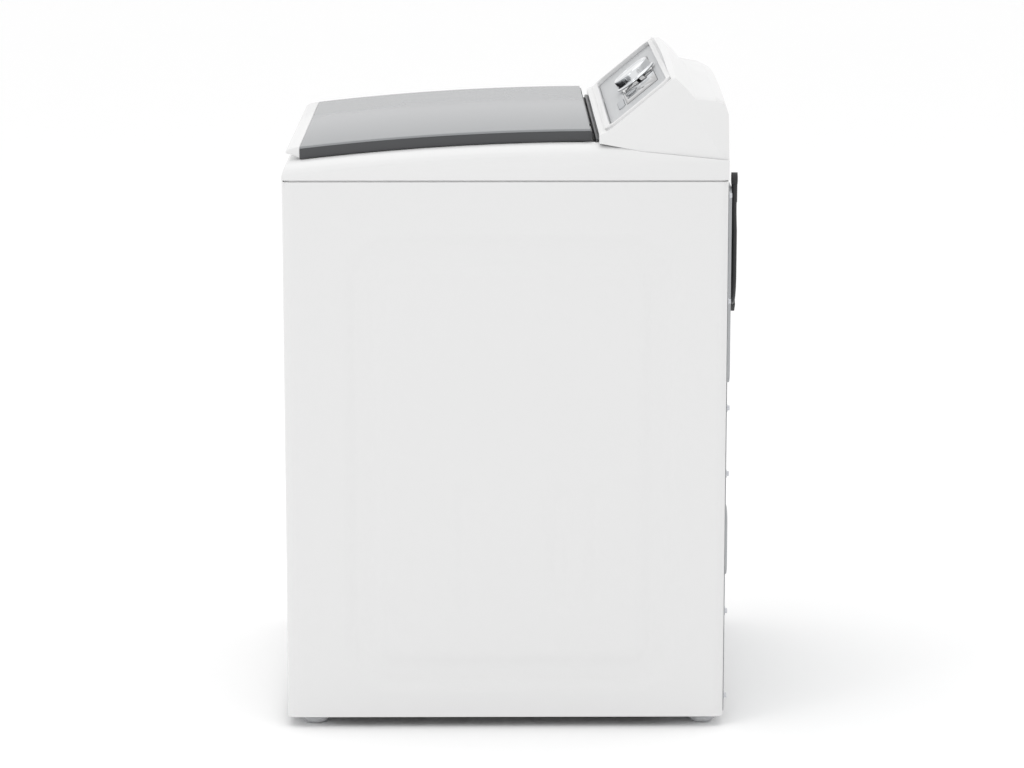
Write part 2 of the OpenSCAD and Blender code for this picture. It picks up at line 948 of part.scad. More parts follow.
module detergent_drawer() color("whitesmoke")
    drawer(-drawer_x);

module softener_drawer() color("whitesmoke")
    drawer(drawer_x);

module bleach_cup() color("whitesmoke")
    difference() {
        translate([0, 0, cab_top - 12])
            linear_extrude(deck_z(bleach_y - bleach_d / 2) - cab_top + 12)
                bleach_outline(0);
        translate([0, 0, cab_top - 9])
            linear_extrude(100)
                bleach_outline(-2.5);
    }

// ---- tub ----
module about_axis() {
    translate([0, basket_y, 0])
        children();
}

ear_t = 10;
module outer_tub() color("gainsboro")
    difference() {
        union() {
            about_axis() {
                translate([0, 0, tub_floor])
                    pipe(tub_r, tub_in, tub_top - tub_floor);
                translate([0, 0, tub_floor])
                    cylinder(r = tub_r, h = tub_base_t);
                translate([0, 0, housing_low])
                    cylinder(r = housing_r, h = housing_top - housing_low);
            }
            for (sx = [-1, 1], sy = [-1, 1])
                translate([0, 0, ear_z])
                    linear_extrude(ear_t)
                        hull() {
                            translate([sx * rod_x, sy * rod_y])
                                circle(20, $fn = 24);
                            translate([sx * (tub_r - 14) * 0.7071, basket_y + sy * (tub_r - 14) * 0.7071])
                                circle(34, $fn = 24);
                        }
        }
        about_axis() {
            translate([0, 0, tub_floor + tub_base_t])
                difference() {
                    cylinder(r = tub_in, h = tub_top);
                    translate([0, 0, -1])
                        cylinder(r = housing_r, h = housing_top - tub_floor - tub_base_t + 1);
                }
            translate([0, 0, housing_low - 1])
                cylinder(r = bearing_r, h = housing_top - housing_low + 2);
        }
        translate([pump_x, pump_y, tub_floor - 1])
            cylinder(r = 20, h = tub_base_t + 2);
        at_corners(rod_x, rod_y)
            translate([0, 0, ear_z - 1])
                cylinder(r = rod_r + 5, h = ear_t + 2);
    }

module tub_ring() color("whitesmoke")
    about_axis()
        translate([0, 0, tub_top])
            rotate_extrude()
                polygon([
                    [tub_r + 2.5, -10], [tub_r + 5, -10], [tub_r + 5, 4], [tub_r - 6, 8],
                    [ring_in + 12, ring_h - 4], [ring_in + 4, ring_h], [ring_in, ring_h - 3],
                    [ring_in + 2, ring_h - 12], [ring_in + 5, ring_h - 12], [ring_in + 8, ring_h - 7],
                    [tub_r - 8, 4], [tub_r - 2, 0.5], [tub_r + 2.5, 0.5]]);

module tub_bearings() color("silver")
    about_axis()
        for (z = [housing_low, housing_top - 7 - bearing_h])
            translate([0, 0, z])
                pipe(bearing_r - 0.01, tube_r + 0.01, bearing_h);

module shaft_seal() color("black")
    about_axis()
        translate([0, 0, housing_top - 6.5])
            pipe(bearing_r - 0.01, tube_r + run, 6);

module stator() color("chocolate")
    about_axis()
        translate([0, 0, tub_floor - 62]) {
            difference() {
                pipe(118, 66, 38);
                for (i = [0:23])
                    rotate([0, 0, i * 15])
                        translate([84, -2.5, -1])
                            cube([40, 5, 40]);
            }
            for (a = [0, 120, 240])
                rotate([0, 0, a])
                    translate([76, 0, 38])
                        cylinder(r = 7, h = 24);
        }

module rotor() color("silver")
    about_axis()
        translate([0, 0, tub_floor - 88])
            difference() {
                union() {
                    pipe(136, 124, 60);
                    cylinder(r = 136, h = 4);
                    translate([0, 0, -8])
                        cylinder(r = 24, h = 16);
                }
                translate([0, 0, -10])
                    cylinder(r = shaft_r, h = 30);
                for (i = [0:7])
                    rotate([0, 0, i * 45])
                        translate([80, 0, -1])
                            cylinder(r = 18, h = 6);
            }

module clutch_slider() color("ivory")
    about_axis()
        translate([0, 0, tube_low + 1])
            pipe(28, tube_r + run, 13);

pump_low = tub_floor - 50;
pump_pin = 2.5;
module drain_pump() color("lightgray") {
    translate([pump_x, pump_y, 0])
        difference() {
            union() {
                translate([0, 0, pump_low])
                    cylinder(r = 42, h = 50);
                translate([0, 0, pump_low - 46])
                    cylinder(r = 30, h = 46);
                translate([0, 30, pump_low + 22])
                    rotate([-90, 0, 0])
                        cylinder(r = hose_r, h = 18);
            }
            translate([0, 0, pump_low + 4])
                cylinder(r = 36, h = 40);
            translate([0, 0, pump_low + 30])
                cylinder(r = 20, h = 40);
            translate([0, 20, pump_low + 22])
                rotate([-90, 0, 0])
                    cylinder(r = hose_bore, h = 40);
        }
    translate([pump_x, pump_y, pump_low + 3])
        cylinder(r = pump_pin, h = 22);
}

module pump_impeller() color("white")
    translate([pump_x, pump_y, pump_low + 6])
        difference() {
            union() {
                cylinder(r = 26, h = 2.5);
                cylinder(r = 7, h = 22);
                for (i = [0:5])
                    rotate([0, 0, 60 * i])
                        translate([4, -1.2, 1])
                            cube([21, 2.4, 18]);
            }
            translate([0, 0, -1])
                cylinder(r = pump_pin + run, h = 24);
        }

// The hose leaves the pump to the back, climbs beside the tub and turns out to its port.
pump_out_y = pump_y + 48 + play;
hose_rise_y = basket_y + sqrt(pow(tub_r, 2) - pow(pump_x, 2)) + 36;
hose_low = pump_low + 22;
hose_bend = 34;
top_bend = back - 12 - hose_rise_y;
function hose_arc(y, z, bend, from, to, n = 8) =
    [for (i = [0:n]) let (t = from + (to - from) * i / n) [0, y + bend * sin(t), z - bend * cos(t)]];

hose_points = concat(
    [[0, pump_out_y, hose_low]],
    hose_arc(hose_rise_y - hose_bend, hose_low + hose_bend, hose_bend, 0, 90),
    [[0, hose_rise_y, (hose_low + drain_z) / 2]],
    hose_arc(back - 12, drain_z - top_bend, top_bend, 270, 180),
    [[0, back - 8.3, drain_z]]);

module drain_hose() color("gray")
    translate([drain_x, 0, 0])
        swept(hose_points, hose_r, 12);

// ---- basket and drive ----
hub_r = 60;
module wash_basket() color("silver")
    about_axis()
        difference() {
            union() {
                translate([0, 0, basket_floor])
                    pipe(basket_r, basket_r - basket_wall, basket_top - basket_floor);
                translate([0, 0, basket_floor])
                    cylinder(r = basket_r, h = 2);
                translate([0, 0, hub_z + 1])
                    cylinder(r = hub_r, h = basket_floor - hub_z - 1);
            }
            translate([0, 0, hub_z])
                cylinder(r = tube_r, h = 40);
        }

module balance_ring() color("whitesmoke")
    about_axis()
        translate([0, 0, basket_top - 40])
            rotate_extrude()
                polygon([
                    [ring_in + 3, 4], [ring_in + 7, 0], [basket_r - basket_wall - 0.2, 0],
                    [basket_r - basket_wall - 0.2, 44], [ring_in + 9, 44], [ring_in + 3, 36]]);

module spin_tube() color("silver")
    about_axis()
        translate([0, 0, tube_low])
            pipe(tube_r, shaft_r + run, basket_floor + 2 - tube_low);

plate_r = basket_r - 32;
module wash_plate() color("lightgray")
    about_axis()
        translate([0, 0, basket_floor + 4])
            difference() {
                union() {
                    rotate_extrude()
                        polygon([
                            [0, 0], [plate_r - 6, 0], [plate_r, 4], [plate_r - 1, 9], [plate_r - 16, 12],
                            [110, 16], [62, 26], [44, 42], [30, 46], [0, 46]]);
                    for (i = [0:5])
                        rotate([0, 0, i * 60])
                            translate([46, -9, 20])
                                rotate([0, 4, 0])
                                    cube([plate_r - 66, 18, 13]);
                }
                translate([0, 0, -1])
                    cylinder(r = shaft_r, h = 29);
            }

module drive_shaft() color("silver")
    about_axis()
        translate([0, 0, tub_floor - 102])
            cylinder(r = shaft_r - 0.01, h = basket_floor + 32 - tub_floor + 102);

// ---- suspension ----
module suspension_rods() color("silver")
    at_corners(rod_x, rod_y) {
        translate([0, 0, rod_low])
            cylinder(r = rod_r, h = brace_z + brace_t + 10 - rod_low);
        translate([0, 0, brace_z + brace_t])
            cylinder(r1 = 12, r2 = 6, h = 8);
        translate([0, 0, rod_low])
            cylinder(r = spring_r + 3, h = 4);
    }

// Each spring fills the sleeve that its coils turn in.
spring_z = rod_low + 4.2;
spring_h = ear_z - 0.2 - spring_z;
module suspension_springs() color("gray")
    at_corners(rod_x, rod_y)
        translate([0, 0, spring_z])
            pipe(spring_r, spring_r - spring_wire, spring_h);

// ---- power cord ----
module cord_lead() color("black") {
    swept(lead_points, cord_d / 2);
    swept(tail_points, cord_d / 2);
}

module hank_outline(r) {
    square([2 * r, hank_run], center = true);
    for (s = [-1, 1])
        translate([0, s * hank_run / 2])
            circle(r);
}

module cord_hank() color("black")
    translate([hank_x, hank_y + cord_d + 0.2, hank_z])
        rotate([90, 0, 0])
            linear_extrude(cord_d + 0.2)
                difference() {
                    hank_outline(hank_out);
                    hank_outline(hank_in);
                }

plug_turn = 233;          // turn of the plug about Y, from upright
module power_plug() color("black")
    translate(tail_points[len(tail_points) - 1])
        rotate([0, plug_turn, 0]) {
            cylinder(r1 = cord_d / 2 + 1, r2 = 8, h = 14);
            translate([-13, -8, 12])
                cube([26, 16, 22]);
            for (s = [-1, 1])
                translate([s * 6.35 - 0.8, -6.5, 34])
                    cube([1.6, 6.4, 17]);
            translate([0, 4.5, 34])
                cylinder(r = 2.4, h = 19);
        }

relief_z = 892;
module strain_relief() color("black")
    translate([lead_points[0][0], 0, 0]) {
        translate([0, panel_face, relief_z])
            rotate([-90, 0, 0])
                cylinder(r = 10, h = 9.5);
        translate([0, lead_points[0][1], lead_points[0][2]])
            cylinder(r1 = cord_d / 2 + 0.7, r2 = cord_d / 2 + 0.9, h = 36);
    }

// The hank hangs by its upper end on a short peg that turns up at its tip.
hook_w = 10;
hook_l = 6.8;
module cord_hook() color("black")
    translate([hank_x, panel_face, hank_z + hank_run / 2])
        extrude_x(hook_w)
            polygon([[0, 6], [hook_l, 10], [hook_l, 19], [hook_l - 1.5, 19], [hook_l - 3, 17.5], [0, 17.5]]);

cabinet_wrap();
base_frame();
corner_braces();
rear_panel();
rear_screws();
top_panel();
foot(0);  // foot_front_left
foot(1);  // foot_front_right
foot(2);  // foot_rear_left
foot(3);  // foot_rear_right
foot_lock_nuts();
lid_frame();
lid_glass();
lid_liner();
lid_handle();
lid_strike();
hinge_pins();
hinge_brackets();
hinge_cover_strip();
lid_lock_housing();
lid_lock_bolt();
console_shell();
console_face();
display_window();
circuit_boards();
control_knob();
knob_encoder();
start_button();
power_button();
option_key();
inlet_bezel();
inlet_valves();
fill_hoses();
dispenser_housing();
detergent_drawer();
softener_drawer();
bleach_cup();
outer_tub();
tub_ring();
tub_bearings();
shaft_seal();
stator();
drain_pump();
pump_impeller();
wash_basket();
balance_ring();
spin_tube();
wash_plate();
drive_shaft();
rotor();
clutch_slider();
suspension_rods();
suspension_springs();
drain_hose();
drain_port();
cord_lead();
cord_hank();
power_plug();
strain_relief();
cord_hook();
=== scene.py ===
import json
import math

import bmesh
import bpy
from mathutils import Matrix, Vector

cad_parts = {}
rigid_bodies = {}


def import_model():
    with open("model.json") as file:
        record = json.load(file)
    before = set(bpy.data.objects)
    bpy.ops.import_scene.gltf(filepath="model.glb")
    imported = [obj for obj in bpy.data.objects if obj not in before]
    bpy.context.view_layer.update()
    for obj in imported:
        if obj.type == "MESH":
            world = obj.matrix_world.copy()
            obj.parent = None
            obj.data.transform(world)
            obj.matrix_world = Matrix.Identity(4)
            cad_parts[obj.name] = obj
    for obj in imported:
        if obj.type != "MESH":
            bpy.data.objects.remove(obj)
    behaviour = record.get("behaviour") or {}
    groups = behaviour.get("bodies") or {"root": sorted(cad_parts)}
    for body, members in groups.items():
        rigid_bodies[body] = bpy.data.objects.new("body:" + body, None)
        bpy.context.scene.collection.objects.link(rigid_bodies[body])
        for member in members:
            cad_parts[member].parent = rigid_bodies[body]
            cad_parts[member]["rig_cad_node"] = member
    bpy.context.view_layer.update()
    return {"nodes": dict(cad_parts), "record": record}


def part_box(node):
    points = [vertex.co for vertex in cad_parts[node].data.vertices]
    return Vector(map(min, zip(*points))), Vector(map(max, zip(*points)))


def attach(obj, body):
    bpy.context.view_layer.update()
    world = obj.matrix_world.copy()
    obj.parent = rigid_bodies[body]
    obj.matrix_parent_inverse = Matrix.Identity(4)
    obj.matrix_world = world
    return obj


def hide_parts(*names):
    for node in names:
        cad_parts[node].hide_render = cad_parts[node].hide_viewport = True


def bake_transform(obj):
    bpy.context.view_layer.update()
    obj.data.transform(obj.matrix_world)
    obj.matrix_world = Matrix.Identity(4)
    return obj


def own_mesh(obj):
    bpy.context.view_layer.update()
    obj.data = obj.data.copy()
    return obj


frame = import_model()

nodes = frame["nodes"]

# ---------------------------------------------------------------------------
# Camera: a long lens a little above the lid, on the machine's right-hand side,
# square to the cabinet so that its side panel is seen flat.
eye = Vector((5.805, -0.030, 1.616))
aim = Vector((0.355, 0.0103, 0.569))
camera_data = bpy.data.cameras.new("side_camera")
camera_data.lens = 122.0
camera = bpy.data.objects.new("side_camera", camera_data)
camera.location = eye
camera.rotation_euler = (aim - eye).to_track_quat("-Z", "Y").to_euler()
bpy.context.scene.collection.objects.link(camera)
bpy.context.scene.camera = camera
bpy.context.scene.view_settings.view_transform = "Standard"


# ---------------------------------------------------------------------------
# Power cord: black vinyl mains lead, wound flat into a hank that hangs on the
# rear panel, with its moulded plug lying beside it.
def deselect():
    if bpy.context.object and bpy.context.object.mode != "OBJECT":
        bpy.ops.object.mode_set(mode="OBJECT")
    bpy.ops.object.select_all(action="DESELECT")


def make_active(piece):
    deselect()
    piece.select_set(True)
    bpy.context.view_layer.objects.active = piece


def node_group(name, inputs, outputs):
    """An empty node group with named float, colour and vector sockets."""
    group = bpy.data.node_groups.new(name, "ShaderNodeTree")
    kinds = {"value": "NodeSocketFloat", "color": "NodeSocketColor", "vector": "NodeSocketVector"}
    for label, kind in inputs:
        group.interface.new_socket(name=label, in_out="INPUT", socket_type=kinds[kind])
    for label, kind in outputs:
        group.interface.new_socket(name=label, in_out="OUTPUT", socket_type=kinds[kind])
    return group, group.nodes.new("NodeGroupInput"), group.nodes.new("NodeGroupOutput")


# Moulded or sprayed skin: a fine height grain, with slow drifts of tone and gloss.
skin, skin_in, skin_out = node_group(
    "surface_skin",
    [("Color", "color"), ("Tone Drift", "value"), ("Roughness", "value"),
     ("Roughness Drift", "value"), ("Grain Scale", "value"), ("Drift Scale", "value")],
    [("Color", "color"), ("Roughness", "value"), ("Height", "value")])
skin_place = skin.nodes.new("ShaderNodeTexCoord")
skin_grain = skin.nodes.new("ShaderNodeTexNoise")
skin_grain.inputs["Detail"].default_value = 3
skin_drift = skin.nodes.new("ShaderNodeTexNoise")
skin_drift.inputs["Detail"].default_value = 2
skin_shift = skin.nodes.new("ShaderNodeMath")
skin_shift.operation = "SUBTRACT"
skin_shift.inputs[1].default_value = 0.5
skin_tone = skin.nodes.new("ShaderNodeMath")
skin_tone.operation = "MULTIPLY_ADD"
skin_tone.inputs[2].default_value = 1.0
skin_gloss = skin.nodes.new("ShaderNodeMath")
skin_gloss.operation = "MULTIPLY_ADD"
skin_shade = skin.nodes.new("ShaderNodeVectorMath")
skin_shade.operation = "SCALE"
for a, b in (
    (skin_place.outputs["Object"], skin_grain.inputs["Vector"]),
    (skin_place.outputs["Object"], skin_drift.inputs["Vector"]),
    (skin_in.outputs["Grain Scale"], skin_grain.inputs["Scale"]),
    (skin_in.outputs["Drift Scale"], skin_drift.inputs["Scale"]),
    (skin_drift.outputs["Fac"], skin_shift.inputs[0]),
    (skin_shift.outputs[0], skin_tone.inputs[0]),
    (skin_in.outputs["Tone Drift"], skin_tone.inputs[1]),
    (skin_shift.outputs[0], skin_gloss.inputs[0]),
    (skin_in.outputs["Roughness Drift"], skin_gloss.inputs[1]),
    (skin_in.outputs["Roughness"], skin_gloss.inputs[2]),
    (skin_in.outputs["Color"], skin_shade.inputs[0]),
    (skin_tone.outputs[0], skin_shade.inputs["Scale"]),
    (skin_shade.outputs[0], skin_out.inputs["Color"]),
    (skin_gloss.outputs[0], skin_out.inputs["Roughness"]),
    (skin_grain.outputs["Fac"], skin_out.inputs["Height"]),
):
    skin.links.new(a, b)


def linear(grey):
    """Scene-linear value of a display value from 0 to 255."""
    c = grey / 255
    return c / 12.92 if c <= 0.04045 else ((c + 0.055) / 1.055) ** 2.4


def surface(name, rgb, roughness, grain=900, bump=0.04, depth=0.0002, tone=0.05,
            gloss=0.08, drift=5, metallic=0.0, coat=0.0):
    """A Principled material whose colour, gloss and height come from the skin group."""
    made = bpy.data.materials.new(name)
    made.use_nodes = True
    tree = made.node_tree
    shader = tree.nodes["Principled BSDF"]
    cover = tree.nodes.new("ShaderNodeGroup")
    cover.node_tree = skin
    cover.inputs["Color"].default_value = (*[linear(c) for c in rgb], 1)
    cover.inputs["Tone Drift"].default_value = tone
    cover.inputs["Roughness"].default_value = roughness
    cover.inputs["Roughness Drift"].default_value = gloss
    cover.inputs["Grain Scale"].default_value = grain
    cover.inputs["Drift Scale"].default_value = drift
    relief = tree.nodes.new("ShaderNodeBump")
    relief.inputs["Strength"].default_value = bump
    relief.inputs["Distance"].default_value = depth
    shader.inputs["Metallic"].default_value = metallic
    shader.inputs["Coat Weight"].default_value = coat
    shader.inputs["Coat Roughness"].default_value = 0.08
    tree.links.new(cover.outputs["Color"], shader.inputs["Base Color"])
    tree.links.new(cover.outputs["Roughness"], shader.inputs["Roughness"])
    tree.links.new(cover.outputs["Height"], relief.inputs["Height"])
    tree.links.new(relief.outputs["Normal"], shader.inputs["Normal"])
    return made


def dress(piece, material):
    piece.data.materials.clear()
    piece.data.materials.append(material)


black_vinyl = surface("black_vinyl", (34, 34, 36), 0.5, grain=1400, bump=0.12, tone=0.15)

cord_r = 0.004
lead_route = [
    (0.298, 0.3664, 0.854), (0.298, 0.3664, 0.846), (0.298, 0.3664, 0.837),
    (0.299, 0.3666, 0.828), (0.300, 0.3668, 0.819), (0.302, 0.367, 0.810),
    (0.303, 0.367, 0.800), (0.303, 0.367, 0.789)]
tail_route = [
    (0.262, 0.367, 0.722), (0.254, 0.368, 0.718), (0.245, 0.369, 0.716), (0.236, 0.370, 0.714),
    (0.227, 0.370, 0.711), (0.218, 0.370, 0.707), (0.209, 0.370, 0.702), (0.201, 0.370, 0.697),
    (0.193, 0.370, 0.691), (0.186, 0.370, 0.686)]
hank_x, hank_y, hank_z = 0.245, 0.367, 0.755
hank_half_run = 0.015
outer_turn, inner_turn = 0.058, 0.024
turns, winding_turns = 4.25, 4     # all turns, and those that close in on the middle
steps_per_turn = 48
hand_over_steps = 9                # left off the end, where the tail takes over


def hank_route():
    """Flat racetrack spiral, from the right-hand run down and round to the innermost turn."""
    route = []
    steps = int(turns * steps_per_turn)
    for i in range(1, steps - hand_over_steps):
        angle = 2 * math.pi * i / steps_per_turn
        radius = outer_turn + (inner_turn - outer_turn) * min(i / (winding_turns * steps_per_turn), 1)
        # round ends are joined by straight runs, where only the height changes
        across, up = math.cos(angle), -math.sin(angle)
        middle = hank_half_run * (1 if up > 0 else -1)
        if abs(up) < 1e-6:
            middle = 0
        route.append((hank_x + radius * across, hank_y, hank_z + radius * up + middle))
    return route


cord_route = lead_route + hank_route() + tail_route
cord_curve = bpy.data.curves.new("power_cord", "CURVE")
cord_curve.dimensions = "3D"
cord_curve.bevel_depth = cord_r
cord_curve.bevel_resolution = 4
cord_curve.use_fill_caps = True
spline = cord_curve.splines.new("POLY")
spline.points.add(len(cord_route) - 1)
for point, place in zip(spline.points, cord_route):
    point.co = (*place, 1)
power_cord = bpy.data.objects.new("power_cord", cord_curve)
bpy.context.scene.collection.objects.link(power_cord)
dress(power_cord, black_vinyl)
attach(power_cord, "cabinet")
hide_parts("cord_lead", "cord_hank")

# ---------------------------------------------------------------------------
# Plug and strain relief: vinyl moulded over the cord, rounded wherever a hand
# takes hold; the real plug's plated brass pins are dressed in the same black vinyl here.
body_of_node = {n: b for b, members in frame["record"]["behaviour"]["bodies"].items() for n in members}


def finish_piece(piece, material, body, replaced=(), smooth=35):
    """Applies the piece's place, shades it, and hands it to its body, if it has just one."""
    make_active(piece)
    bpy.ops.object.transform_apply(location=True, rotation=True, scale=True)
    bpy.ops.object.shade_smooth_by_angle(angle=math.radians(smooth))
    dress(piece, material)
    if body:
        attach(piece, body)
    if replaced:
        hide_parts(*replaced)
    return piece


def apply_modifier(piece, kind, **settings):
    make_active(piece)
    made = piece.modifiers.new(kind.lower(), kind)
    for key, value in settings.items():
        setattr(made, key, value)
    bpy.ops.object.modifier_apply(modifier=made.name)


def softened(node, edge, material, sides=2, angle=35, smooth=35, rides=True):
    """A copy of a CAD node with its facets merged and its sharp edges rounded."""
    make_active(nodes[node])
    bpy.ops.object.duplicate()
    piece = bpy.context.view_layer.objects.active
    piece.name = node + "_made"
    del piece["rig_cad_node"]
    piece.parent = None
    bpy.ops.object.mode_set(mode="EDIT")
    bpy.ops.mesh.select_all(action="SELECT")
    bpy.ops.mesh.remove_doubles(threshold=0.00002)
    bpy.ops.mesh.dissolve_limited(angle_limit=math.radians(0.4))
    bpy.ops.object.mode_set(mode="OBJECT")
    if edge:
        apply_modifier(piece, "BEVEL", width=edge, segments=sides, limit_method="ANGLE",
                       angle_limit=math.radians(angle), use_clamp_overlap=True)
    body = body_of_node[node] if rides else None
    return finish_piece(piece, material, body, [node], smooth)


plug = softened("power_plug", 0.0016, black_vinyl, sides=3)
relief = softened("strain_relief", 0.0008, black_vinyl)
softened("cord_hook", 0.0008, black_vinyl)

# ---------------------------------------------------------------------------
# Cabinet wrap: one sheet of steel bent round the front and both sides, powder
# coated white. Each side has a shallow band pressed in round its flat middle,
# and three short ribs, which stiffen the sheet.
white_enamel = surface("white_enamel", (222, 222, 222), 0.34, grain=420, bump=0.05,
                       tone=0.012, gloss=0.05, drift=3, coat=0.25)
wrap_low, wrap_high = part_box("cabinet_wrap")
sheet_t = 0.0012
bend_r = 0.014
bend_steps = 8
rear_lip = 0.024
side_step = 0.008
front_steps = 12           # across half the flat front
band_depth, band_width, band_soft = 0.0024, 0.045, 0.012
band_y = (-0.255, 0.276)
band_z = (0.062, 0.806)
band_r = 0.075
rib_round, rib_share, rib_soft = 0.95, 0.5, 0.008
ribs = [(-0.069, 0.193, 0.403, 0.014), (0.090, 0.193, 0.403, 0.020), (0.140, 0.193, 0.403, 0.010)]


def smooth_step(x):
    x = min(max(x, 0), 1)
    return x * x * (3 - 2 * x)


def outside_box(y, z, y_span, z_span, r):
    """Signed distance from a rounded rectangle's edge, negative inside."""
    dy = abs(y - sum(y_span) / 2) - (y_span[1] - y_span[0]) / 2 + r
    dz = abs(z - sum(z_span) / 2) - (z_span[1] - z_span[0]) / 2 + r
    return math.hypot(max(dy, 0), max(dz, 0)) + min(max(dy, dz), 0) - r


def pressing(y, z):
    """How far the side is pressed in at a place on it."""
    edge = outside_box(y, z, band_y, band_z, band_r)
    band = smooth_step((-edge) / band_soft) * smooth_step((edge + band_width + band_soft) / band_soft)
    depth = band_depth * band
    for middle, low, high, half in ribs:
        rib = outside_box(y, z, (middle - half, middle + half), (low, high), half * rib_round)
        depth += rib_share * band_depth * smooth_step(-rib / rib_soft)
    return depth


def wrap_stations():
    """Points round the wrap, from the left rear lip to the right, as (x, y, nx, ny)."""
    x, front, rear = wrap_high.x, wrap_low.y, wrap_high.y
    half = [(x - rear_lip, rear, 0, 1)]
    half += [(x - bend_r + bend_r * math.cos(a), rear - bend_r + bend_r * math.sin(a),
              math.cos(a), math.sin(a))
             for a in (math.pi / 2 * (1 - i / bend_steps) for i in range(bend_steps + 1))]
    count = int((rear - front - 2 * bend_r) / side_step)
    half += [(x, rear - bend_r - (rear - front - 2 * bend_r) * i / count, 1, 0)
             for i in range(1, count)]
    half += [(x - bend_r + bend_r * math.cos(a), front + bend_r + bend_r * math.sin(a),
              math.cos(a), math.sin(a))
             for a in (-math.pi / 2 * i / bend_steps for i in range(bend_steps + 1))]
    half += [((x - bend_r) * (1 - i / front_steps), front, 0, -1)
             for i in range(1, front_steps + 1)]
    return half + [(-px, py, -nx, ny) for px, py, nx, ny in reversed(half[:-1])]


stations = wrap_stations()
wrap_rows = int((wrap_high.z - wrap_low.z) / side_step)
deselect()
bpy.ops.mesh.primitive_grid_add(x_subdivisions=len(stations) - 1, y_subdivisions=wrap_rows, size=1)
wrap = bpy.context.object
wrap.name = "cabinet_wrap_made"
for vertex in wrap.data.vertices:
    across = round((vertex.co.x + 0.5) * (len(stations) - 1))
    up = vertex.co.y + 0.5
    x, y, nx, ny = stations[across]
    z = wrap_low.z + up * (wrap_high.z - wrap_low.z)
    depth = pressing(y, z) if abs(nx) == 1 else 0
    vertex.co = (x - nx * depth, y - ny * depth, z)
apply_modifier(wrap, "SOLIDIFY", thickness=sheet_t, offset=1)
make_active(wrap)
bpy.ops.object.mode_set(mode="EDIT")
bpy.ops.mesh.select_all(action="SELECT")
bpy.ops.mesh.normals_make_consistent(inside=False)
bpy.ops.object.mode_set(mode="OBJECT")
finish_piece(wrap, white_enamel, "cabinet", ["cabinet_wrap"], smooth=50)

# ---------------------------------------------------------------------------
# Base frame, corner braces and rear panel: galvanised sheet, folded and spot
# welded; the rear panel is screwed to the wrap's rear lips. The screws, nuts,
# hinge pins and brackets, strike, lock bolt and tub rods are zinc plated.
galvanised = surface("galvanised", (176, 178, 180), 0.42, grain=160, bump=0.05, tone=0.10, drift=40,
                     metallic=0.6)
zinc = surface("zinc", (200, 202, 206), 0.30, grain=700, bump=0.05, tone=0.10, drift=60, metallic=0.9)
for name, edge in (("base_frame", 0.0008), ("corner_braces", 0.0006), ("rear_panel", 0.0008)):
    softened(name, edge, galvanised)
for name, edge in (("rear_screws", 0.0004), ("foot_lock_nuts", 0.0005), ("hinge_pins", 0.0006),
                   ("hinge_brackets", 0.0008), ("lid_strike", 0.0008), ("lid_lock_bolt", 0.0008),
                   ("suspension_rods", 0.0006)):
    softened(name, edge, zinc)

# ---------------------------------------------------------------------------
# Top panel: moulded white shell with a rolled shoulder; the wash opening's
# skirt reaches down into the tub ring. The bleach cup and the dispenser's
# housing and drawers are moulded in the same white.
white_plastic = surface("white_plastic", (224, 224, 224), 0.30, grain=700, bump=0.04,
                        tone=0.012, gloss=0.05, coat=0.3)
softened("top_panel", 0.0012, white_plastic, angle=40, smooth=40)
softened("bleach_cup", 0.0010, white_plastic)
softened("dispenser_housing", 0.0012, white_plastic)
softened("detergent_drawer", 0.0014, white_plastic, sides=3)
softened("softener_drawer", 0.0014, white_plastic, sides=3)

# ---------------------------------------------------------------------------
# Levelling feet: grey rubber pads moulded on threaded studs, which screw up
# into the base frame and are held by lock nuts.
foot_rubber = surface("foot_rubber", (186, 187, 189), 0.62, grain=1100, bump=0.25, tone=0.08)
for name in ("foot_front_left", "foot_front_right", "foot_rear_left", "foot_rear_right"):
    softened(name, 0.0008, foot_rubber, sides=3)

# ---------------------------------------------------------------------------
# Lid: smoked tempered glass in a dark moulded frame, with a white lip to lift
# it by and a white liner underneath. The lock housing, inlet bezel, drain port
# and knob encoder are moulded in the frame's dark plastic; the gap strip takes
# the same dark plastic as painted shade, standing for the shadowed gap between lid and console.
dark_plastic = surface("dark_plastic", (66, 67, 69), 0.38, grain=1200, bump=0.08, tone=0.06)
lid_tint = surface("lid_tint", (140, 142, 144), 0.24, grain=60, bump=0.0, tone=0.02, gloss=0.03)
softened("lid_glass", 0.0012, lid_tint, sides=3, angle=50)
softened("lid_frame", 0.0014, dark_plastic, angle=50)
softened("lid_liner", 0.0014, white_plastic, angle=50)
softened("lid_handle", 0.0022, white_plastic, sides=4, angle=20, smooth=60)
# the hinge cover strip's dark colour is painted shade: it stands for the shadow in the gap between the
# lid and the console
for name in ("hinge_cover_strip", "lid_lock_housing", "inlet_bezel", "drain_port", "knob_encoder"):
    softened(name, 0.0008, dark_plastic)

# ---------------------------------------------------------------------------
# Console: white moulded housing with a sunken silver control panel, a smoked
# window, a turned and chromed knob, and keys; green circuit boards behind it.
silver_paint = surface("silver_paint", (182, 184, 186), 0.34, grain=2200, bump=0.05, tone=0.05,
                       metallic=0.35)
window_smoke = surface("window_smoke", (56, 57, 60), 0.10, grain=60, bump=0.0, tone=0.05, coat=1.0)
key_grey = surface("key_grey", (168, 171, 174), 0.40, grain=1300, bump=0.06, tone=0.05)
chromed = surface("chromed", (226, 228, 230), 0.07, grain=90, bump=0.01, tone=0.03, gloss=0.04,
                  metallic=1.0)
softened("console_shell", 0.0030, white_plastic, sides=4, angle=12, smooth=60)
softened("console_face", 0.0008, silver_paint)
softened("display_window", 0.0005, window_smoke)
softened("control_knob", 0.0008, chromed, sides=3)
for name in ("start_button", "power_button", "option_key"):
    softened(name, 0.0008, key_grey, sides=3)
solder_mask = surface("solder_mask", (44, 92, 58), 0.35, grain=300, bump=0.15, tone=0.2)
softened("circuit_boards", 0.0003, solder_mask)

